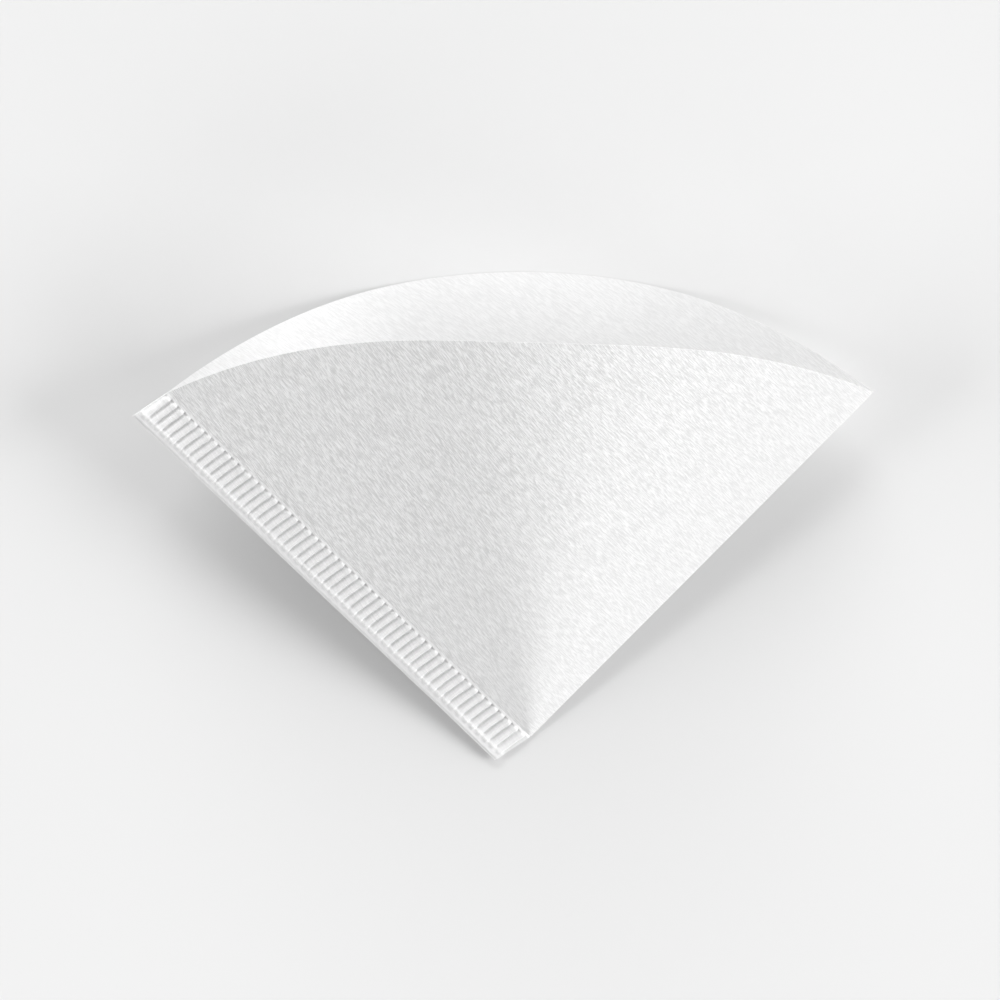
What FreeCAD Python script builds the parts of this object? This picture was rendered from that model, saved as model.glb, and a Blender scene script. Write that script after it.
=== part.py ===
import FreeCAD, Part
import math
import os

# Paper coffee filter for a cone dripper, lying opened on its back wall.
# Two equal walls share a plain fold on the right and a crimped seam tab on the left.
# Lengths are millimetres, angles are degrees, and wall angles are counted from the seam to the fold.

# The sheet
side_length = 120.0          # tip to rim along the seam, and along the fold
rim_height_share = 0.926     # rim height in the middle of a wall, as a share of the side
flat_angle = 90.0            # tip angle of each wall when it is flat
paper_thickness = 0.22
hollow_tip = 0.4             # where the hollow starts, counted from the tip
outer_tip = 0.3              # where the outer faces start, counted from the tip

# How far the walls are bent by being opened
front_turn = 29.4            # whole bend of the front wall
front_bend_centre = 49.0
front_bend_half = 25.0
back_seam_share = 0.6        # share of the back wall's bend that is on the seam side
back_seam_centre = 24.0
back_fold_centre = 64.0
back_bend_half = 14.0

# The seam tab
tab_width = 9.4
tab_lift = 4.0               # the tab stands this much higher than midway between the walls
tab_cut_slant = 10.0         # both ends are cut at this angle to the crimps
front_ply_inset = 0.6        # the front ply stops this far inside the back ply

# The crimps pressed through both plies of the tab
crimp_count = 53
crimp_pitch = 2.2
crimp_first = 2.3            # tip to the middle of the lowest crimp, along the seam
crimp_length = 7.1
crimp_inner_end = 0.25       # seam line to the near end of a crimp
crimp_depth = 0.27           # how far a crimp is pressed into the front face
crimp_floor = 0.1            # width of its narrow floor
crimp_steep_wall = 0.25      # width of its wall toward the tip
crimp_gentle_wall = 0.9      # width of its wall toward the rim

# How finely curves are followed
step = 0.5
bend_points = 8


def unit(vector):
    """The same direction with length one."""
    return vector * (1.0 / vector.Length)


def bend_rate(bends, angle):
    """Turn per degree of wall angle: each bend is one smooth wave, (1 + cos) / (2 * half width)."""
    rate = 0.0
    for turn, centre, half in bends:
        offset = (angle - centre) / half
        if abs(offset) < 1.0:
            rate += turn / (2.0 * half) * (1.0 + math.cos(math.pi * offset))
    return rate


def wall_frames(bends):
    """Directions from the tip along one wall, each with the wall's normal there, at every step."""
    ray = FreeCAD.Vector(1, 0, 0)
    normal = FreeCAD.Vector(0, 0, 1)
    frames = [(ray, normal)]
    for index in range(int(round(flat_angle / step))):
        rate = bend_rate(bends, (index + 0.5) * step)
        axis = unit(ray * rate + normal)
        turn = FreeCAD.Rotation(axis, step * math.sqrt(1.0 + rate * rate))
        ray = turn.multVec(ray)
        normal = turn.multVec(normal)
        frames.append((ray, normal))
    return frames


def opening_angle(bends):
    """Angle between the seam and the fold once a wall is bent."""
    frames = wall_frames(bends)
    return math.degrees(frames[0][0].getAngle(frames[-1][0]))


def back_bends(turn):
    """The back wall's two bends, with the flat strip that it lies on between them."""
    seam_bend = (turn * back_seam_share, back_seam_centre, back_bend_half)
    fold_bend = (turn * (1.0 - back_seam_share), back_fold_centre, back_bend_half)
    return [seam_bend, fold_bend]


def matching_turn(target):
    """The back wall's whole turn that brings its seam and fold onto the front wall's."""
    low = 0.0
    high = 90.0
    for round_number in range(40):
        middle = (low + high) / 2.0
        if opening_angle(back_bends(middle)) > target:
            low = middle
        else:
            high = middle
    return middle


def placed(frames, side):
    """Wall directions in the shared frame: X from seam to fold, Y from tip to rim, Z to the front."""
    across = unit(frames[-1][0] - frames[0][0])
    upward = unit(frames[-1][0] + frames[0][0])
    outward = across.cross(upward)
    if frames[len(frames) // 2][0].dot(outward) * side < 0:
        outward = outward * -1.0
    result = []
    for ray, normal in frames:
        placed_ray = FreeCAD.Vector(ray.dot(across), ray.dot(upward), ray.dot(outward))
        placed_normal = FreeCAD.Vector(normal.dot(across), normal.dot(upward), normal.dot(outward))
        if placed_normal.z * side < 0:
            placed_normal = placed_normal * -1.0
        result.append((placed_ray, placed_normal))
    return result


def rim_distance(angle):
    """Tip to rim at a wall angle: the rim is one circle arc, flatter than a circle about the tip."""
    share = rim_height_share
    centre = side_length * (share * share - 1.0) / (math.sqrt(2.0) - 2.0 * share)
    radius = side_length * share + centre
    offset = math.radians(angle - flat_angle / 2.0)
    return math.sqrt(radius ** 2 - (centre * math.sin(offset)) ** 2) - centre * math.cos(offset)


front = placed(wall_frames([(front_turn, front_bend_centre, front_bend_half)]), 1)
seam_to_fold = opening_angle([(front_turn, front_bend_centre, front_bend_half)])
back_turn = matching_turn(seam_to_fold)
back = placed(wall_frames(back_bends(back_turn)), -1)
print("seam to fold", round(seam_to_fold, 3), "back turn", round(back_turn, 3))


def frame_at(wall, angle):
    """Direction and normal of a wall at an angle that falls on a step."""
    return wall[int(round(angle / step))]


def wall_point(wall, angle, lift):
    """Rim point of a wall, lifted from its inner face by lift."""
    ray, normal = frame_at(wall, angle)
    return ray * rim_distance(angle) + normal * lift


def tip_point(wall, angle, lift):
    """Lower end of a wall's ray, on its inner face or on its outer face."""
    ray, normal = frame_at(wall, angle)
    start = outer_tip if lift else hollow_tip
    return ray * start + normal * lift


seam = frame_at(front, 0.0)[0]
fold = frame_at(front, flat_angle)[0]
front_seam_normal = frame_at(front, 0.0)[1]
back_seam_normal = frame_at(back, 0.0)[1]
tab_normal = unit(front_seam_normal - back_seam_normal)
tab_normal = FreeCAD.Rotation(seam, tab_lift).multVec(tab_normal)
tab_out = unit(tab_normal.cross(seam))
if tab_out.x > 0:
    tab_out = tab_out * -1.0
cut_rise = math.tan(math.radians(tab_cut_slant))


def tab_point(along, out, lift):
    """Point on the tab: along the seam, out from it, and up from the joint between the two plies."""
    return seam * (along + out * cut_rise) + tab_out * out + tab_normal * lift


def seam_corner(along, normal, side):
    """Where a wall's outer face meets the tab's face."""
    corner = (tab_normal * side + normal) * (paper_thickness / (1.0 + side * tab_normal.dot(normal)))
    return tab_point(along, corner.dot(tab_out), side * paper_thickness)


def line(start, end):
    return Part.makeLine(start, end)


def polygon(points):
    """Flat face through its corners."""
    return Part.Face(Part.makePolygon(points + [points[0]]))


def smooth_edge(points):
    curve = Part.BSplineCurve()
    curve.interpolate(points)
    return curve.toShape()


def rim_edge(wall, start, end, lift, first):
    """Rim edge over one facet or bend: a circle arc or a smooth curve. first replaces its first point."""
    flat = frame_at(wall, start)[1].getAngle(frame_at(wall, end)[1]) < 1e-6
    count = 2 if flat else bend_points - 1
    steps = (end - start) / step
    angles = [start + round(steps * i / count) * step for i in range(count + 1)]
    points = [wall_point(wall, angle, lift) for angle in angles]
    points[0] = first or points[0]
    if flat:
        return Part.Arc(points[0], points[1], points[2]).toShape()
    return smooth_edge(points)


def wall_face(rim, low_start, low_end):
    """One facet or bend between its rim edge and its short edge at the tip."""
    if rim.Curve.TypeId == "Part::GeomCircle":
        sides = [line(low_start, rim.Vertexes[0].Point), rim]
        sides += [line(rim.Vertexes[-1].Point, low_end), line(low_end, low_start)]
        return Part.Face(Part.Wire(sides))
    return Part.makeRuledSurface(line(low_start, low_end), rim)


def wall_faces(wall, borders, side):
    """Inner faces, outer faces and the cut paper edge of one wall."""
    seam_normal = frame_at(wall, 0.0)[1]
    top_corner = seam_corner(side_length, seam_normal, side)
    tip_corner = seam_corner(0.0, seam_normal, side)
    faces = []
    for start, end in zip(borders[:-1], borders[1:]):
        inner = rim_edge(wall, start, end, 0.0, None)
        outer = rim_edge(wall, start, end, paper_thickness, None if start else top_corner)
        low_start = tip_point(wall, start, paper_thickness) if start else tip_corner
        faces.append(Part.makeRuledSurface(inner, outer))
        faces.append(wall_face(inner, tip_point(wall, start, 0.0), tip_point(wall, end, 0.0)))
        faces.append(wall_face(outer, low_start, tip_point(wall, end, paper_thickness)))
    return faces


# Borders between facets and bends. A bend has one more in its middle, where it turns fastest.
front_borders = [0.0, front_bend_centre - front_bend_half, front_bend_centre]
front_borders += [front_bend_centre + front_bend_half, flat_angle]
back_borders = [0.0, back_seam_centre - back_bend_half, back_seam_centre, back_seam_centre + back_bend_half]
back_borders += [back_fold_centre - back_bend_half, back_fold_centre, back_fold_centre + back_bend_half]
back_borders += [flat_angle]
faces = wall_faces(front, front_borders, 1) + wall_faces(back, back_borders, -1)

# The fold is the paper bent round itself, so its outside is a round of the paper's thickness.
fold_front = frame_at(front, flat_angle)[1] * paper_thickness
fold_back = frame_at(back, flat_angle)[1] * paper_thickness
fold_out = unit(fold_front + fold_back) * paper_thickness
fold_top = fold * side_length
fold_low = fold * outer_tip
tip_arc = Part.Arc(fold_low + fold_front, fold_low + fold_out, fold_low + fold_back).toShape()
top_arc = Part.Arc(fold_top + fold_front, fold_top + fold_out, fold_top + fold_back).toShape()
faces.append(Part.makeRuledSurface(tip_arc, top_arc))
faces.append(Part.Face(Part.Wire([tip_arc, line(fold_low + fold_back, fold_low + fold_front)])))
top_sides = [top_arc, line(fold_top + fold_back, fold_top), line(fold_top, fold_top + fold_front)]
faces.append(Part.Face(Part.Wire(top_sides)))

# The tip outside, and the end of the hollow inside.
seam_front_tip = seam_corner(0.0, front_seam_normal, 1)
seam_back_tip = seam_corner(0.0, back_seam_normal, -1)
tip_ring = [seam_front_tip]
tip_ring += [tip_point(front, angle, paper_thickness) for angle in front_borders[1:]]
tip_ring += [tip_point(back, angle, paper_thickness) for angle in reversed(back_borders[1:])]
tip_ring += [seam_back_tip]
tip_end = FreeCAD.Vector(0, -paper_thickness, 0)
for index in range(len(tip_ring)):
    faces.append(polygon([tip_end, tip_ring[index - 1], tip_ring[index]]))
hollow_ring = [tip_point(front, angle, 0.0) for angle in front_borders]
hollow_ring += [tip_point(back, angle, 0.0) for angle in reversed(back_borders[1:-1])]
hollow_end = FreeCAD.Vector(0, hollow_tip / 2.0, 0)
for index in range(len(hollow_ring)):
    faces.append(polygon([hollow_end, hollow_ring[index - 1], hollow_ring[index]]))

# The tab: two plies pressed flat against each other, the front one a little narrower.
seam_front_top = seam_corner(side_length, front_seam_normal, 1)
seam_back_top = seam_corner(side_length, back_seam_normal, -1)
front_out = tab_width - front_ply_inset


def tab_outline(along):
    """Corners of the tab's section from the front wall round to the back wall."""
    first = seam_corner(along, front_seam_normal, 1)
    last = seam_corner(along, back_seam_normal, -1)
    middle = [tab_point(along, front_out, paper_thickness), tab_point(along, front_out, 0.0)]
    middle += [tab_point(along, tab_width, 0.0), tab_point(along, tab_width, -paper_thickness)]
    return [first] + middle + [last]


low = tab_outline(0.0)
high = tab_outline(side_length)
for index in range(len(low) - 1):
    faces.append(polygon([low[index], low[index + 1], high[index + 1], high[index]]))
faces.append(polygon(low))
faces.append(polygon(high + [seam * side_length]))

shell = Part.makeShell(faces)
shell.sewShape()
print("shell closed", shell.isClosed(), "valid", shell.isValid())
sheet = Part.Solid(shell)


def crimp_bar(middle, corners):
    """Straight bar across the tab. corners are its section: along the seam and above the plies' joint."""
    start = seam * middle + tab_out * crimp_inner_end
    section = [start + seam * along + tab_normal * lift for along, lift in corners]
    return polygon(section).extrude(tab_out * crimp_length)


# Every crimp sinks a groove into the front and raises a ridge behind. The ridge's top lies two plies
# below the groove's floor, and the ridge is one ply wider on its steep side.
groove_floor = paper_thickness - crimp_depth
steep_slope = crimp_steep_wall / crimp_depth
gentle_slope = crimp_gentle_wall / crimp_depth
clear = paper_thickness
groove = [(-crimp_floor / 2.0, groove_floor), (crimp_floor / 2.0, groove_floor)]
groove += [(crimp_floor / 2.0 + gentle_slope * (crimp_depth + clear), paper_thickness + clear)]
groove += [(-crimp_floor / 2.0 - steep_slope * (crimp_depth + clear), paper_thickness + clear)]
ridge_floor = groove_floor - 2.0 * paper_thickness
ridge = [(-crimp_floor / 2.0 - paper_thickness, ridge_floor), (crimp_floor / 2.0, ridge_floor)]
ridge += [(crimp_floor / 2.0 - gentle_slope * ridge_floor, 0.0)]
ridge += [(-crimp_floor / 2.0 - paper_thickness + steep_slope * ridge_floor, 0.0)]
middles = [crimp_first + crimp_pitch * index for index in range(crimp_count)]
sheet = sheet.fuse([crimp_bar(middle, ridge) for middle in middles])
sheet = sheet.cut([crimp_bar(middle, groove) for middle in middles])
print("solids", len(sheet.Solids), "valid", sheet.isValid(), "volume", round(sheet.Volume, 1))

# It lies on the flat strip of the back wall, with the tip toward -Y and the seam toward -X.
strip_angle = (back_seam_centre + back_fold_centre) / 2.0
strip_ray, strip_normal = frame_at(back, strip_angle)
upright = FreeCAD.Rotation(strip_normal, FreeCAD.Vector(0, 0, -1))
heading = upright.multVec(strip_ray)
square = FreeCAD.Rotation(FreeCAD.Vector(0, 0, 1), 90.0 - math.degrees(math.atan2(heading.y, heading.x)))
sheet.Placement = FreeCAD.Placement(FreeCAD.Vector(0, 0, 0), square.multiply(upright))
box = sheet.optimalBoundingBox()
sheet.translate(FreeCAD.Vector(-box.Center.x, -box.Center.y, paper_thickness))
print("box", round(box.XLength, 2), round(box.YLength, 2), round(box.ZLength, 2))
os.makedirs("parts", exist_ok=True)
sheet.exportStep("parts/filter_paper.step")
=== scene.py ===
# %% [markdown]
# # Paper coffee filter
#
# A cone filter of white crepe paper, lying opened on its back wall. One sheet is folded in half. The
# fold is its right side, and a crimped seam tab closes its left side. The scene is built in the solid
# part's frame: metres, +Z up, +Y from the tip to the rim, +X from the seam to the fold.
#
# The sheet could be modelled as two flat walls that are bent by hand. Here the walls are computed, because
# paper bends without stretching, and that leaves only one free choice: how sharply each wall turns at
# each angle from the seam. The solid part follows the same rule, so the walls of both agree.

import math

import bpy
import numpy as np
from mathutils import Matrix, Vector


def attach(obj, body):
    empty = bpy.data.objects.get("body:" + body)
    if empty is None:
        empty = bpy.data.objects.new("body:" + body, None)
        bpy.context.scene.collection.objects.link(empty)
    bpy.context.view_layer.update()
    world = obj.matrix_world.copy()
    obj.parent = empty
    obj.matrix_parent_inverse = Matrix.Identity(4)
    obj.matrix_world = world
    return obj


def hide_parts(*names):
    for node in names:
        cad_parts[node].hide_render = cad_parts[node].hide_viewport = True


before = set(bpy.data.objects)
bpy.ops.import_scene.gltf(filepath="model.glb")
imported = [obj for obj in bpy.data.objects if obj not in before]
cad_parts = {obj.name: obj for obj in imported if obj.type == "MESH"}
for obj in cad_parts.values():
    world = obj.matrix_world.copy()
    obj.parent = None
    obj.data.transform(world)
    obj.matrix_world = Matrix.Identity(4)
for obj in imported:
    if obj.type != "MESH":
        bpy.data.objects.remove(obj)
scene = bpy.context.scene
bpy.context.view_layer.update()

# %% [markdown]
# ## Sizes of the sheet
#
# Lengths are in millimetres and angles in degrees, and everything turns into metres once, at the end.
# The side runs from the tip to the rim, along the seam or the fold. rim_share is the way from the tip to
# the middle of the rim, as a share of the side.

# %% Sizes of the sheet
MM = 0.001
side = 120.0
rim_share = 0.926
paper = 0.22
print("side", side, "middle of the rim", round(side * rim_share, 1), "mm from the tip")

# %% [markdown]
# ## One wall's section
#
# A cone is straight along every line through its tip, so a wall is known from one curve on a ball about the
# tip. Wall angles are counted along that curve, from the seam to the fold, which are a quarter circle
# apart on the flat sheet. A small step along it turns the frame (ray, normal) about the axis
# ray * rate + normal, where rate is the bend per degree. A flat facet has rate 0. A soft bend of half
# width h about the centre c has rate = turn / (2 h) * (1 + cos(pi * (angle - c) / h)), one smooth wave.

# %% One wall's section
QUARTER = 90.0
STEP = 0.25
ANGLES = np.arange(0.0, QUARTER + STEP / 2, STEP)


def bend_rate(turns, angle):
    """turn / (2 h) * (1 + cos(pi (angle - c) / h)) for each bend, and 0 outside it."""
    rate = np.zeros_like(angle)
    for turn, centre, half in turns:
        offset = (angle - centre) / half
        wave = turn / (2 * half) * (1 + np.cos(np.pi * offset))
        rate += np.where(np.abs(offset) < 1, wave, 0)
    return rate


def rotated(vector, axis, angle):
    """A turn about a unit axis k: v cos a + (k x v) sin a + k (k . v) (1 - cos a)."""
    return (
        vector * math.cos(angle)
        + np.cross(axis, vector) * math.sin(angle)
        + axis * (axis @ vector) * (1 - math.cos(angle))
    )


def section(turns):
    """Rays and normals at ANGLES: each is the one before it, turned by STEP about ray * rate + normal."""
    rays = [np.array([1.0, 0.0, 0.0])]
    normals = [np.array([0.0, 0.0, 1.0])]
    for rate in bend_rate(turns, ANGLES[:-1] + STEP / 2):
        size = math.hypot(rate, 1.0)
        axis = (rays[-1] * rate + normals[-1]) / size
        rays.append(rotated(rays[-1], axis, math.radians(STEP) * size))
        normals.append(rotated(normals[-1], axis, math.radians(STEP) * size))
    return np.array(rays), np.array(normals)


def opening(turns):
    """Angle in degrees from the seam to the fold of the bent wall: acos(first ray . last ray)."""
    rays, _ = section(turns)
    return math.degrees(math.acos(rays[0] @ rays[-1]))


print("steps", len(ANGLES) - 1, "opening of a flat wall", round(opening([]), 3))

# %% [markdown]
# ## The bends of both walls
#
# The front wall has one broad bend near its middle. The back wall lies on a flat strip and bends on
# either side of it. The two walls meet at the seam and at the fold, so both have to open by the same
# angle. The front wall sets it, and the back wall's whole turn is found by halving an interval.

# %% The bends of both walls
front_turns = [(29.4, 49.0, 25.0)]
back_seam_share = 0.6
back_centres = (24.0, 64.0)
back_half = 14.0


def back_turns(whole):
    """The back wall's two bends, with the strip that it lies on left flat between them."""
    return [
        (whole * back_seam_share, back_centres[0], back_half),
        (whole * (1 - back_seam_share), back_centres[1], back_half),
    ]


low, high = 0.0, QUARTER
for _ in range(30):
    whole = (low + high) / 2
    too_open = opening(back_turns(whole)) > opening(front_turns)
    low, high = (whole, high) if too_open else (low, whole)
print("opening", round(opening(front_turns), 3), "back turn", round(whole, 3))

# %% [markdown]
# ## Both walls in the resting frame
#
# Each wall is turned so that its seam and fold lie in one shared plane, front above and back below. Then
# everything turns once more, until the middle of the back wall's flat strip faces straight down and
# its ray runs along +Y, which is how the filter comes to rest.

# %% Both walls in the resting frame


def unit(vector):
    """Each vector divided by its length."""
    return vector / np.linalg.norm(vector, axis=-1, keepdims=True)


def placed(turns, up):
    """Rays and outward normals with seam and fold in the plane z = 0, and the wall on the side up."""
    rays, normals = section(turns)
    x, y = unit(rays[-1] - rays[0]), unit(rays[-1] + rays[0])
    axes = np.stack([x, y, np.cross(x, y)], axis=1)
    rays, normals = rays @ axes, normals @ axes
    if rays[len(rays) // 2, 2] * up < 0:
        rays, normals = rays * [1, 1, -1], normals * [1, 1, -1]
    return rays, normals * np.sign(normals[:, 2:] * up)


front_rays, front_normals = placed(front_turns, 1)
back_rays, back_normals = placed(back_turns(whole), -1)

strip_middle = sum(back_centres) / 2
strip = int(round(strip_middle / STEP))
rest_z = -back_normals[strip]
rest_y = back_rays[strip]
TO_REST = np.stack([np.cross(rest_y, rest_z), rest_y, rest_z], axis=1)

front_rays, front_normals = front_rays @ TO_REST, front_normals @ TO_REST
back_rays, back_normals = back_rays @ TO_REST, back_normals @ TO_REST
seam, fold = front_rays[0], front_rays[-1]
print("seam", np.round(seam, 3), "fold", np.round(fold, 3))

# %% [markdown]
# ## The rim
#
# The rim of the flat sheet is one circle arc, flatter than a circle about the tip. Its radius R and the
# distance d of its centre below the tip follow from two lengths: the side, and the shorter way to the
# middle of the rim.

# %% The rim


def rim(angle):
    """Tip to rim: sqrt(R^2 - (d sin a)^2) - d cos a, with a counted from the middle of the rim."""
    d = side * (rim_share**2 - 1) / (math.sqrt(2) - 2 * rim_share)
    radius = side * rim_share + d
    a = np.radians(angle - QUARTER / 2)
    return np.sqrt(radius**2 - (d * np.sin(a)) ** 2) - d * np.cos(a)


print("tip to rim at the seam and in the middle", np.round(rim(np.array([0.0, QUARTER / 2])), 2))

# %% [markdown]
# ## A closed slab of paper
#
# Every part of the sheet is a grid of points with normals, and the paper's two faces are that grid lifted
# by two heights. The cut edges close it, so the paper has a real thickness and light leaves it where it
# should. The flat-sheet position of every point, in millimetres, is kept as a UV map, because the crepe
# belongs to the paper and follows it round the fold.

# %% A closed slab of paper


def slab(points, normals, low, high, flat):
    """Vertices, quads and flat positions of a grid: point + normal * height, for the heights high and low."""
    rows, columns = points.shape[:2]
    index = np.arange(rows * columns).reshape(rows, columns)
    corners = [index[:-1, :-1], index[:-1, 1:], index[1:, 1:], index[1:, :-1]]
    upper = np.stack(corners, axis=-1).reshape(-1, 4)
    under = upper[:, ::-1] + rows * columns
    ring = np.concatenate([index[0, :-1], index[:-1, -1], index[-1, :0:-1], index[:0:-1, 0]])
    after = np.roll(ring, -1)
    edge = np.stack([after, ring, ring + rows * columns, after + rows * columns], axis=-1)
    lifted = [(points + normals * np.asarray(lift)[..., None]).reshape(-1, 3) for lift in (high, low)]
    quads = np.concatenate([upper, under, edge])
    return np.concatenate(lifted), quads, np.concatenate([flat.reshape(-1, 2)] * 2)


def facing(points, normals):
    """True if the grid's quads already turn the way of the normals: the sum of (across x along) . normal."""
    across, along = points[:-1, 1:] - points[:-1, :-1], points[1:, :-1] - points[:-1, :-1]
    return float(np.sum(np.cross(across, along) * normals[:-1, :-1])) > 0


def made_slab(points, normals, low, high, flat):
    """slab(), with its grid turned over where the quads would face inward."""
    grids = (points, normals, low, high, flat)
    if not facing(points, normals):
        grids = [grid[:, ::-1] if np.ndim(grid) > 1 else grid for grid in grids]
    return slab(*grids)


print("paper", paper, "mm thick")

# %% [markdown]
# ## Columns round the sheet
#
# One grid runs from the seam over the front wall, round the fold and back over the back wall. Its columns
# are wall angles. At the fold only the normal turns, which gives the fold its round.

# %% Columns round the sheet
WALL_COLUMNS = 110
FOLD_COLUMNS = 7


def at(values, angle):
    """Rays or normals at any wall angles, between the computed ones."""
    return unit(np.stack([np.interp(angle, ANGLES, values[:, k]) for k in range(3)], axis=-1))


front_angles = np.linspace(0, QUARTER, WALL_COLUMNS)
back_angles = front_angles[::-1]
fold_axis = unit(np.cross(front_normals[-1], back_normals[-1]))
fold_angle = math.acos(front_normals[-1] @ back_normals[-1])
fold_turns = np.linspace(0, 1, FOLD_COLUMNS + 2)[1:-1] * fold_angle
fold_normals = np.array([rotated(front_normals[-1], fold_axis, turn) for turn in fold_turns])

column_angles = np.concatenate([front_angles, np.full(FOLD_COLUMNS, QUARTER), back_angles])
column_rays = np.concatenate(
    [at(front_rays, front_angles), np.tile(fold, (FOLD_COLUMNS, 1)), at(back_rays, back_angles)]
)
column_normals = np.concatenate(
    [at(front_normals, front_angles), fold_normals, at(back_normals, back_angles)]
)
is_back = np.arange(len(column_angles)) >= WALL_COLUMNS + FOLD_COLUMNS
print("columns", len(column_angles), "the fold turns by", round(math.degrees(fold_angle), 1), "degrees")

# %% [markdown]
# ## The walls and the fold
#
# The rows go from just above the tip to the rim. Handling leaves a paper wall slightly wavy, so a few
# long, low waves lift it by some hundredths of a millimetre. They fade out at the seam, the fold, the tip
# and the strip it lies on. At the rim the cut pinches the paper thinner, which softens its edge.

# %% The walls and the fold
WALL_ROWS = 44
tip_gap = 0.4
# The paper's inner face keeps this far off the grid, and the rim is pinched this far on both faces.
wall_gap = 0.02
rim_pinch = 0.07

# Each wave: its height in millimetres, its rate round the wall and along it, and how it is shifted.
WAVES = [(0.030, 9.0, 3.0, 1.0, 0.0), (0.022, 17.0, -6.0, 2.1, 1.0), (0.014, 31.0, 9.0, 0.7, 2.0)]
back_phase = 4.0
# The waves fade toward the seam and the fold, toward the tip, and round the strip it lies on.
fade_power, tip_fade = 0.7, 2.5
strip_share, strip_fade_angle, strip_flat = 0.4, 12, 0.3


def waves(angle, reach, phase):
    """Millimetres: the sum of height * sin(round * angle + along * reach / side + share * phase + shift)."""
    a, r = np.radians(angle), reach / side
    return sum(
        height * np.sin(round_rate * a + along_rate * r + phase_share * phase + shift)
        for height, round_rate, along_rate, phase_share, shift in WAVES
    )


row_share = np.linspace(0, 1, WALL_ROWS)[:, None]
distance = tip_gap + row_share * (rim(column_angles)[None] - tip_gap)

fade = np.sin(np.radians(column_angles) * 2) ** fade_power * np.clip(row_share * tip_fade, 0, 1)
from_strip = np.clip(np.abs(column_angles - strip_middle) / strip_fade_angle - strip_flat, 0, 1)
strip_fade = np.where(is_back, strip_share * from_strip, 1)
phases = np.where(is_back, back_phase, 0.0)[None]
lift = waves(column_angles[None], distance, phases) * fade * strip_fade

wall_points = column_rays[None] * distance[..., None] + column_normals[None] * lift[..., None]
wall_normals = np.broadcast_to(column_normals[None], wall_points.shape)
along = distance * np.cos(np.radians(column_angles))[None]
over = distance * np.sin(np.radians(column_angles))[None]
wall_flat = np.stack([np.where(is_back[None], -along, along), over], axis=-1)
pinch = np.zeros_like(lift)
pinch[-1] = rim_pinch
walls = made_slab(wall_points, wall_normals, wall_gap + pinch, paper - pinch, wall_flat)
print("walls", len(walls[1]) * 2, "triangles, waves up to", round(float(np.abs(lift).max()), 3), "mm")

# %% [markdown]
# ## The tab's frame
#
# The tab is the seam's spare strip of both walls. It leaves the seam midway between the walls, raised by a
# few degrees. The front ply is a little narrower, so the back ply shows beside it. Both ends of the tab are
# cut at a slant, and the crimps lean the same way, but less.

# %% The tab's frame
tab_width = 9.8
tab_lift = 4.0
cut_slant = 10.0
crimp_slant = 7.0
front_inset = 0.6

tab_up = rotated(unit(front_normals[0] - back_normals[0]), seam, math.radians(tab_lift))
tab_out = unit(np.cross(tab_up, seam))
tab_out = tab_out * (1 if tab_out[0] < 0 else -1)
cut_rise = math.tan(math.radians(cut_slant))
slant_rise = math.tan(math.radians(crimp_slant))
print("tab out", np.round(tab_out, 3), "tab up", np.round(tab_up, 3))

# %% [markdown]
# ## The crimps' relief
#
# Toothed rollers press the two plies of the tab into each other. Each crimp is a raised bar across the tab
# with a hollow beside it. Toward the tip the bar drops steeply into the hollow, and the hollow then
# rises gently to the next bar. The bar's ends are knobs, where the tooth's corners pushed hardest, and
# the hollow is shallower beside them. Bars pressed as plain grooves would be easier to make, but they
# shade the wrong way round under this light.

# %% The crimps' relief
crimps = 54
crimp_pitch = 2.2105
crimp_first = 1.55
crimp_near = 0.85
crimp_far = 7.90
bar_rise = 0.22
hollow_depth = 0.55

# Along the seam: half of a bar's flat top, its steep side toward the tip, and its gentle side.
bar_half, steep_side, gentle_side = 0.32, 0.24, 0.90
# Out from the seam: where in the bar's end the knob sits, and how long it is. Then what it adds to the bar.
knob_place, knob_length, knob_wider, knob_higher = 0.30, 0.42, 0.14, 0.8
# The gentle side gets shorter at the bar's ends.
end_shorter, end_length = 0.45, 0.45
# The hollow is full at the foot of the steep side, and eases to this share of its depth behind it.
hollow_floor, floor_start, floor_length = 0.65, 0.3, 0.7
# Across the tab the hollow is shallower near the seam and under the outer knobs.
seam_share, deeper_from, deeper_over = 0.68, 1.0, 5.0
knob_fill, fill_place, fill_length = 0.45, 0.4, 0.8
# The ends of bars and hollows, and how the first crimps start at the tip.
bar_end, bar_end_length = 0.50, 0.40
hollow_stop, hollow_stop_length = 0.35, 0.50
start_share, start_from, start_over = 0.4, 0.5, 5


def rising(value, start, length):
    """0 up to start, 1 from start + length on, and 3 v^2 - 2 v^3 between, where v goes from 0 to 1."""
    v = np.clip((value - start) / length, 0, 1)
    return v * v * (3 - 2 * v)


def bump(value, centre, width):
    """exp(-((v - c) / w)^2)."""
    return np.exp(-(((value - centre) / width) ** 2))


def hollow(out):
    """Out from the seam: the depth hollow_depth * deeper * (1 - fill), and how the hollow fades at its ends."""
    deeper = seam_share + (1 - seam_share) * rising(out, deeper_from, deeper_over)
    fill = knob_fill * bump(crimp_far - out, fill_place, fill_length)
    fades = rising(out - crimp_near, -bar_end, bar_end_length) * rising(
        crimp_far - hollow_stop - out, 0, hollow_stop_length
    )
    return hollow_depth * deeper * (1 - fill), fades


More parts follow.
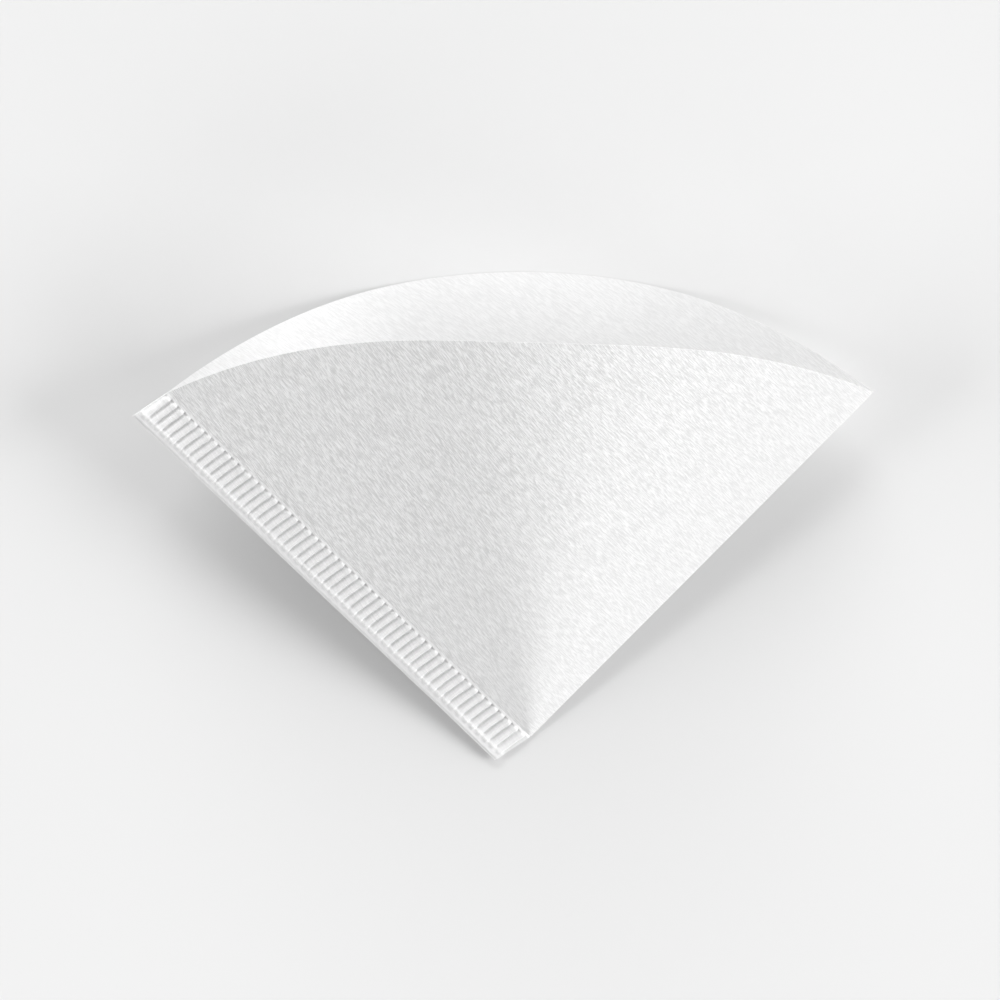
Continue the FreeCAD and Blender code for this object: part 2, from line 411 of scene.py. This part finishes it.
def relief(reach, out):
    """Millimetres: start * (bar_rise * knob * bar - depth * beside), reach along the seam and out from it.

    past is how far a place lies toward the tip from the middle of its nearest bar."""
    number = np.clip(np.round((reach - crimp_first) / crimp_pitch), 0, crimps - 1)
    past = crimp_first + number * crimp_pitch - reach
    inward = np.minimum(out - crimp_near, crimp_far - out)
    knob = bump(inward, knob_place, knob_length)
    half = bar_half + knob_wider * knob
    ramp = gentle_side - end_shorter * bump(inward, 0.0, end_length)
    rise = rising(past + half, -ramp, ramp)
    drop = 1 - rising(past, half, steep_side)
    bar = np.minimum(rise, drop)
    behind = 1 - (1 - hollow_floor) * rising(past - half, floor_start, floor_length)
    beside = np.where(past > 0, (1 - drop) * behind, hollow_floor * (1 - rise))
    depth, hollow_ends = hollow(out)
    bar_ends = rising(inward, -bar_end, bar_end_length)
    start = start_share + (1 - start_share) * rising(reach, start_from, start_over)
    return start * (bar_rise * (1 + knob_higher * knob) * bar * bar_ends - depth * beside * hollow_ends)


middle_out = (crimp_near + crimp_far) / 2
sample = relief(np.linspace(side / 2, side / 2 + crimp_pitch, 200), np.full(200, middle_out))
print("relief in the middle of a bar", round(float(np.ptp(sample)), 3), "mm high")

# %% [markdown]
# ## The tab's plies
#
# The plies are two slabs pressed by the same function, with a hair of air between them that opens at the
# top corner. The rows follow the crimps and the columns crowd at the knobs, so that few faces are enough.
# The rollers leave the whole tab a little bowed: up along the seam, and down at its outer edge. Near the
# tip it lies a little higher.

# %% The tab's plies
BAR_ROWS = np.array(
    [-1.08, -0.88, -0.70, -0.54, -0.42, -0.30, -0.12, 0.06, 0.24, 0.36, 0.48, 0.60, 0.76, 0.95]
)
NEAR_COLUMNS = [-0.2, 0.0, 0.15, 0.3, 0.42, 0.55, 0.72, 0.95, 1.3, 1.8]
MIDDLE_COLUMNS = np.linspace(2.6, 4.9, 3)
FAR_COLUMNS = [6.4, 6.9, 7.1, 7.3, 7.5, 7.7, 7.95, 8.15, 8.4]
LAST_COLUMN = 8.8
# No crimp's row is nearer to the tip than the first of these, and the last one before the rim is added.
first_row, last_row = 0.15, 0.5
# Each ply's way off the joint, and how far the front one parts from it at the top corner.
ply_gap, corner_air = 0.012, 0.14
# Each form of the tab: its height, then where it starts and over what length it comes in.
corner_length, corner_from, corner_over = 3.0, 4.0, 5.0
tip_rise, tip_from, tip_over = 0.30, 1, 7
rise_from, rise_over = -0.3, 1.0
seam_bow, seam_bow_over = 0.15, 6.0
edge_bow, edge_bow_from, edge_bow_over = 0.55, 5.4, 4.8
bow_from, bow_over = 8, 12
# How far from the tab's ends the cuts' slant reaches.
cut_length = 1.5

rows = (crimp_first + crimp_pitch * np.arange(crimps)[:, None] - BAR_ROWS[None, ::-1]).ravel()
rows = np.concatenate([[0.0], rows[rows > first_row], [side - last_row, side]])
rows = np.unique(np.clip(rows, 0.0, side))


def ply(width, low, high, droop):
    """One ply out to width, between two heights over the plies' joint.

    Height = droop * air at the top corner + rise at the tip + bow + relief. Length along the seam =
    reach + out * the crimps' slant, which turns into the cuts' slant at both ends of the tab."""
    out = np.concatenate([NEAR_COLUMNS, MIDDLE_COLUMNS, FAR_COLUMNS, np.linspace(LAST_COLUMN, width, 2)])
    reach, out = np.meshgrid(rows, out, indexing="ij")
    past_seam = np.maximum(out, 0)
    gap = droop * np.exp(-((side - reach) / corner_length)) * rising(out, corner_from, corner_over)
    raised = tip_rise * (1 - rising(reach, tip_from, tip_over)) * rising(out, rise_from, rise_over)
    outer_bow = edge_bow * rising(out, edge_bow_from, edge_bow_over) * rising(reach, bow_from, bow_over)
    bow = seam_bow * (1 - rising(out, 0, seam_bow_over)) - outer_bow
    near_end = np.exp(-reach / cut_length) + np.exp(-(side - reach) / cut_length)
    extra = past_seam * (cut_rise - slant_rise) * near_end
    points = (
        seam * (reach + past_seam * slant_rise + extra)[..., None]
        + tab_out * out[..., None]
        + tab_up * (gap + raised + bow + relief(reach + extra, out))[..., None]
    )
    flat = np.stack([reach, -out], axis=-1)
    return made_slab(points, np.broadcast_to(tab_up, points.shape), low, high, flat)


front_ply = ply(tab_width - front_inset, ply_gap, paper, corner_air)
back_ply = ply(tab_width, -paper, -ply_gap, 0.0)
print("plies", (len(front_ply[1]) + len(back_ply[1])) * 2, "triangles")

# %% [markdown]
# ## One mesh
#
# The walls and both plies become one object in metres. It stands with its strip on the ground, and is
# centred as the solid part is. The cut edges are sharp and the rest is shaded smooth.

# %% One mesh
sharp_angle = 55


def joined(slabs):
    """All slabs' vertices, quads and flat positions in one set of arrays."""
    counts = np.cumsum([0] + [len(points) for points, _, _ in slabs[:-1]])
    points = np.concatenate([points for points, _, _ in slabs])
    quads = np.concatenate([quads + start for (_, quads, _), start in zip(slabs, counts)])
    return points, quads, np.concatenate([flat for _, _, flat in slabs])


points, quads, flat = joined([walls, front_ply, back_ply])
centre = (points.min(axis=0) + points.max(axis=0)) / 2
move = np.array([-centre[0], -centre[1], paper])
points = (points + move) * MM
print("box", np.round(points.min(axis=0) * 1000, 2), np.round(points.max(axis=0) * 1000, 2))
print("lowest point", np.round(points[np.argmin(points[:, 2])] * 1000, 2))

mesh = bpy.data.meshes.new("paper_sheet")
mesh.from_pydata(points.tolist(), [], quads.tolist())
uv = mesh.uv_layers.new(name="sheet_mm")
corner_vertices = np.empty(len(mesh.loops), dtype=np.int32)
mesh.loops.foreach_get("vertex_index", corner_vertices)
uv.data.foreach_set("uv", flat[corner_vertices].astype(np.float32).ravel())
mesh.polygons.foreach_set("use_smooth", np.ones(len(mesh.polygons), dtype=bool))
mesh.set_sharp_from_angle(angle=math.radians(sharp_angle))
mesh.update()
filter_paper = bpy.data.objects.new("paper_sheet", mesh)
scene.collection.objects.link(filter_paper)
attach(filter_paper, "root")
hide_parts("filter_paper")
print("faces", len(mesh.polygons), "triangles", len(mesh.polygons) * 2)

# %% [markdown]
# ## Helpers for materials
#
# Colours are written as sRGB hex values, as a paint chart gives them, and the shaders work in linear
# light, so one function turns them. A second one adds a node together with its settings and links.

# %% Helpers for materials


def linear(code):
    """sRGB hex to linear RGBA: ((c + 0.055) / 1.055) ^ 2.4 above 0.04045, c / 12.92 below."""
    values = [int(code[k : k + 2], 16) / 255 for k in (0, 2, 4)]
    return [((c + 0.055) / 1.055) ** 2.4 if c > 0.04045 else c / 12.92 for c in values] + [1.0]


def node(tree, kind, place, inputs=(), **settings):
    """Add one node with its settings. inputs maps a socket to a value, or to the output linked to it."""
    made = tree.nodes.new(kind)
    made.location = place
    for name, value in settings.items():
        setattr(made, name, value)
    for socket, value in dict(inputs).items():
        if isinstance(value, bpy.types.NodeSocket):
            tree.links.new(value, made.inputs[socket])
        else:
            made.inputs[socket].default_value = value
    return made


print("white in linear light", linear("ffffff"))

# %% [markdown]
# ## The crepe's height
#
# Filter paper is creped: it is scraped off a drying roll, which leaves a fine grain and longer, fainter
# creases along the seam's direction. Both could be modelled, but at less than a tenth of a millimetre
# high they are better drawn by the material. Noise in millimetres on the flat sheet, stretched and turned
# by a few degrees, gives the grain. It is drawn as coarse as it needs to be to show, about one point of
# the picture wide. A second, longer noise gives the creases: a thin line runs wherever it passes its
# middle value, and large patches make the lines stronger or weaker from place to place.

# %% The crepe's height
paper_material = bpy.data.materials.new("Bleached crepe filter paper")
paper_material.use_nodes = True
tree = paper_material.node_tree
tree.nodes.clear()

GRAIN_TURN, GRAIN_SIZE = math.radians(9.0), (2.4, 0.22, 1.0)
CREASE_TURN, CREASE_SIZE = math.radians(7.0), (9.0, 0.9, 1.0)
LINE_WIDTH, LINE_DEPTH = 0.035, 0.13

sheet_place = node(tree, "ShaderNodeUVMap", (-1500, 0), uv_map="sheet_mm")
sheet_mm = sheet_place.outputs["UV"]
grain_place = node(
    tree,
    "ShaderNodeMapping",
    (-1300, 0),
    {"Vector": sheet_mm, "Rotation": (0.0, 0.0, GRAIN_TURN), "Scale": GRAIN_SIZE},
    vector_type="TEXTURE",
)
crease_place = node(
    tree,
    "ShaderNodeMapping",
    (-1300, 360),
    {"Vector": sheet_mm, "Rotation": (0.0, 0.0, CREASE_TURN), "Scale": CREASE_SIZE},
    vector_type="TEXTURE",
)
grain = node(
    tree,
    "ShaderNodeTexNoise",
    (-1100, 0),
    {"Vector": grain_place.outputs[0], "Scale": 1.0, "Detail": 4.0, "Roughness": 0.65, "Distortion": 0.5},
)
creases = node(
    tree,
    "ShaderNodeTexNoise",
    (-1100, 360),
    {"Vector": crease_place.outputs[0], "Scale": 1.0, "Detail": 2.0, "Roughness": 0.5, "Distortion": 0.2},
)
patches = node(tree, "ShaderNodeTexNoise", (-1100, 680), {"Vector": sheet_mm, "Scale": 0.10, "Detail": 2.0})
from_middle = node(
    tree, "ShaderNodeMath", (-900, 360), {0: creases.outputs["Fac"], 1: 0.5}, operation="SUBTRACT"
)
away = node(tree, "ShaderNodeMath", (-740, 360), {0: from_middle.outputs[0]}, operation="ABSOLUTE")
line = node(
    tree,
    "ShaderNodeMapRange",
    (-580, 360),
    {"Value": away.outputs[0], "From Min": LINE_WIDTH, "From Max": 0.0, "To Min": 0.0, "To Max": LINE_DEPTH},
)
where = node(
    tree,
    "ShaderNodeMapRange",
    (-900, 680),
    {"Value": patches.outputs["Fac"], "From Min": 0.35, "From Max": 0.65, "To Min": 0.4, "To Max": 1.0},
)
crease_depth = node(
    tree, "ShaderNodeMath", (-400, 480), {0: line.outputs[0], 1: where.outputs[0]}, operation="MULTIPLY"
)
# This height feeds the bump and also the painted shade of the crepe's low places.
height = node(
    tree,
    "ShaderNodeMath",
    (-240, 200),
    {0: grain.outputs["Fac"], 1: crease_depth.outputs[0]},
    operation="SUBTRACT",
)
print("grain", GRAIN_SIZE[:2], "mm, creases", CREASE_SIZE[:2], "mm")

# %% [markdown]
# ## Where the crepe and its painted shade show
#
# The crepe's bump and its painted shade aren't equally strong all over the sheet. The mask makes the
# painted shade strongest on the front wall away from the fold and the tip, and weakest on the back wall,
# because that is where the crepe's shade shows most under this light, not because the paper differs there.
# The bump follows the same mask. The rollers press the crepe flat on the tab, so both are less there. The
# position on the
# flat sheet tells these places apart: its first value grows away from the fold and is below zero on the
# back wall, and its second one is below zero on the tab.

# %% Where the crepe and its painted shade show
# The mask scales the crepe's bump and its painted shade, the painted shade stronger where the crepe's shade
# shows most under this light.
LEAST_CREPE_AND_SHADE = 0.35
sheet_axes = node(tree, "ShaderNodeSeparateXYZ", (-1300, -420), {"Vector": sheet_mm})
front_more = node(
    tree,
    "ShaderNodeMapRange",
    (-1100, -300),
    {
        "Value": sheet_axes.outputs["X"],
        "From Min": -20.0,
        "From Max": 60.0,
        "To Min": LEAST_CREPE_AND_SHADE,
        "To Max": 1.0,
    },
)
tab_less = node(
    tree,
    "ShaderNodeMapRange",
    (-1100, -560),
    {
        "Value": sheet_axes.outputs["Y"],
        "From Min": -0.5,
        "From Max": 0.5,
        "To Min": LEAST_CREPE_AND_SHADE,
        "To Max": 1.0,
    },
)
strength = node(
    tree,
    "ShaderNodeMath",
    (-900, -420),
    {0: front_more.outputs[0], 1: tab_less.outputs[0]},
    operation="MULTIPLY",
)
print("least crepe", LEAST_CREPE_AND_SHADE)

# %% [markdown]
# ## Bleached crepe filter paper
#
# Bleached paper is white, fully matt and a little translucent, so light that falls on one side softly
# brightens the other. The height of the crepe does two things: low places are painted slightly darker and
# high places slightly lighter, a painted shade for the light that gets less into the low places, and a
# shallow bump bends the light over the grain. The painted shade alone would look printed, and the bump alone is
# too weak in soft light.

# %% Bleached crepe filter paper
# The second colour is painted shade: the paper's white as it is drawn in the crepe's low places.
PAPER_LIGHT, PAPER_IN_PAINTED_SHADE, PAPER_THROUGH = linear("fefefe"), linear("dadada"), linear("f3f3f3")
CREPE_BUMP = 0.00008
THROUGH_SHARE = 0.10

# Painted shade: the crepe's low places get the darker colour and its high places the lighter one, as strong as
# the mask allows.
dark = node(
    tree,
    "ShaderNodeMapRange",
    (-60, 360),
    {"Value": height.outputs[0], "From Min": 0.572, "From Max": 0.418, "To Min": -0.5, "To Max": 0.5},
)
painted_shade_share = node(
    tree,
    "ShaderNodeMath",
    (120, 360),
    {0: dark.outputs[0], 1: strength.outputs[0], 2: 0.5},
    operation="MULTIPLY_ADD",
)
paper_with_painted_shade = node(
    tree,
    "ShaderNodeMix",
    (300, 360),
    {"Factor": painted_shade_share.outputs[0], 6: PAPER_LIGHT, 7: PAPER_IN_PAINTED_SHADE},
    data_type="RGBA",
)
bump_height = node(
    tree, "ShaderNodeMath", (-60, 0), {0: height.outputs[0], 1: strength.outputs[0]}, operation="MULTIPLY"
)
crepe_bump = node(
    tree,
    "ShaderNodeBump",
    (120, 0),
    {"Height": bump_height.outputs[0], "Strength": 1.0, "Distance": CREPE_BUMP},
)
surface = node(
    tree,
    "ShaderNodeBsdfPrincipled",
    (500, 160),
    {
        "Base Color": paper_with_painted_shade.outputs[2],
        "Normal": crepe_bump.outputs["Normal"],
        "Roughness": 0.92,
        "Specular IOR Level": 0.25,
    },
)
through = node(tree, "ShaderNodeBsdfTranslucent", (500, -220), {"Color": PAPER_THROUGH})
mixed = node(
    tree,
    "ShaderNodeMixShader",
    (780, 60),
    {"Fac": THROUGH_SHARE, 1: surface.outputs["BSDF"], 2: through.outputs["BSDF"]},
)
node(tree, "ShaderNodeOutputMaterial", (960, 60), {"Surface": mixed.outputs["Shader"]})
mesh.materials.append(paper_material)
print("material", paper_material.name, "with", len(tree.nodes), "nodes and", len(tree.links), "links")

# %% [markdown]
# ## The floor
#
# The filter lies on a plain pale floor. It is one large flat square just under the paper, fully matt, so
# that it stays one even grey and takes only the filter's soft shadow.

# %% The floor
floor_half = 6.0
floor_drop = 0.0001
floor_mesh = bpy.data.meshes.new("Floor")
floor_corners = [(x * floor_half, y * floor_half, 0) for x, y in ((-1, -1), (1, -1), (1, 1), (-1, 1))]
floor_mesh.from_pydata(floor_corners, [], [(0, 1, 2, 3)])
floor = bpy.data.objects.new("Floor", floor_mesh)
floor.location.z = -floor_drop
scene.collection.objects.link(floor)
floor_material = bpy.data.materials.new("Pale matt backdrop")
floor_material.use_nodes = True
floor_surface = floor_material.node_tree.nodes["Principled BSDF"]
floor_surface.inputs["Base Color"].default_value = linear("dfdfdf")
floor_surface.inputs["Roughness"].default_value = 1.0
floor_surface.inputs["Specular IOR Level"].default_value = 0.0
floor_mesh.materials.append(floor_material)
print("floor", 2 * floor_half, "m wide")

# %% [markdown]
# ## Light
#
# The filter stands in a light tent. Six wide panels stand low around it, the strongest on the right, and
# the tent's top fills the rest. Low light from all sides keeps the walls' greys soft, and leaves the
# narrow hollows of the crimps dark. The panels are far suns, so the floor stays one even grey up to the
# picture's edge. Each panel is a turn about Z, a height and a share of full light, where full light is
# the strength pi, at which a white face that looks at the panel shows as white.

# %% Light
panels = {
    "Right panel": (0, 18, 0.91),
    "Far right panel": (45, 18, 0.24),
    "Rim panel": (90, 18, 0.82),
    "Left panel": (180, 18, 0.52),
    "Near panel": (270, 18, 0.13),
    "Near right panel": (315, 18, 0.21),
}
panel_width = 32
tent_share = 0.345


def direction(turn, rise):
    """(cos turn cos rise, sin turn cos rise, sin rise), both angles in radians."""
    return Vector((math.cos(turn) * math.cos(rise), math.sin(turn) * math.cos(rise), math.sin(rise)))


for name, (turn, rise, light_share) in panels.items():
    toward_panel = direction(math.radians(turn), math.radians(rise))
    panel = bpy.data.lights.new(name, "SUN")
    panel.energy = math.pi * light_share
    panel.angle = math.radians(panel_width)
    panel_object = bpy.data.objects.new(name, panel)
    panel_object.rotation_mode = "QUATERNION"
    panel_object.rotation_quaternion = toward_panel.to_track_quat("Z", "Y")
    scene.collection.objects.link(panel_object)
print("panels", len(panels))

world = bpy.data.worlds.new("Soft sky")
scene.world = world
world.use_nodes = True
world.node_tree.nodes["Background"].inputs["Color"].default_value = (1, 1, 1, 1)
world.node_tree.nodes["Background"].inputs["Strength"].default_value = tent_share
scene.view_settings.view_transform = "Standard"

# %% [markdown]
# ## Camera
#
# The picture was taken from nearly straight above with a long lens, tipped toward the rim. The
# camera's axes are given by its direction and a small roll, and it aims at a point a little above the
# middle of the pouch, which is counted from the tip in sides.

# %% Camera
lens = 734.6
camera_distance = 4.8
azimuth, elevation, roll = math.radians(61.75), math.radians(77.40), math.radians(-2.09)
aim_in_sides = Vector((-0.0502, 0.45654, -0.08461))

camera_data = bpy.data.cameras.new("Camera")
camera_data.sensor_width = 36.0
camera_data.lens = lens
camera_data.clip_start = 0.1
camera_data.clip_end = 50.0
camera = bpy.data.objects.new("Camera", camera_data)
scene.collection.objects.link(camera)
scene.camera = camera

toward = direction(azimuth, elevation)
right = Matrix.Rotation(roll, 3, toward) @ Vector((0, 1, 0)).cross(toward).normalized()
up = toward.cross(right)
tip = Vector((move * MM).tolist())
aim = tip + aim_in_sides * side * MM
turned = Matrix((right, up, toward)).transposed().to_4x4()
camera.matrix_world = Matrix.Translation(aim + toward * camera_distance) @ turned
print("camera at", [round(v, 3) for v in camera.location])
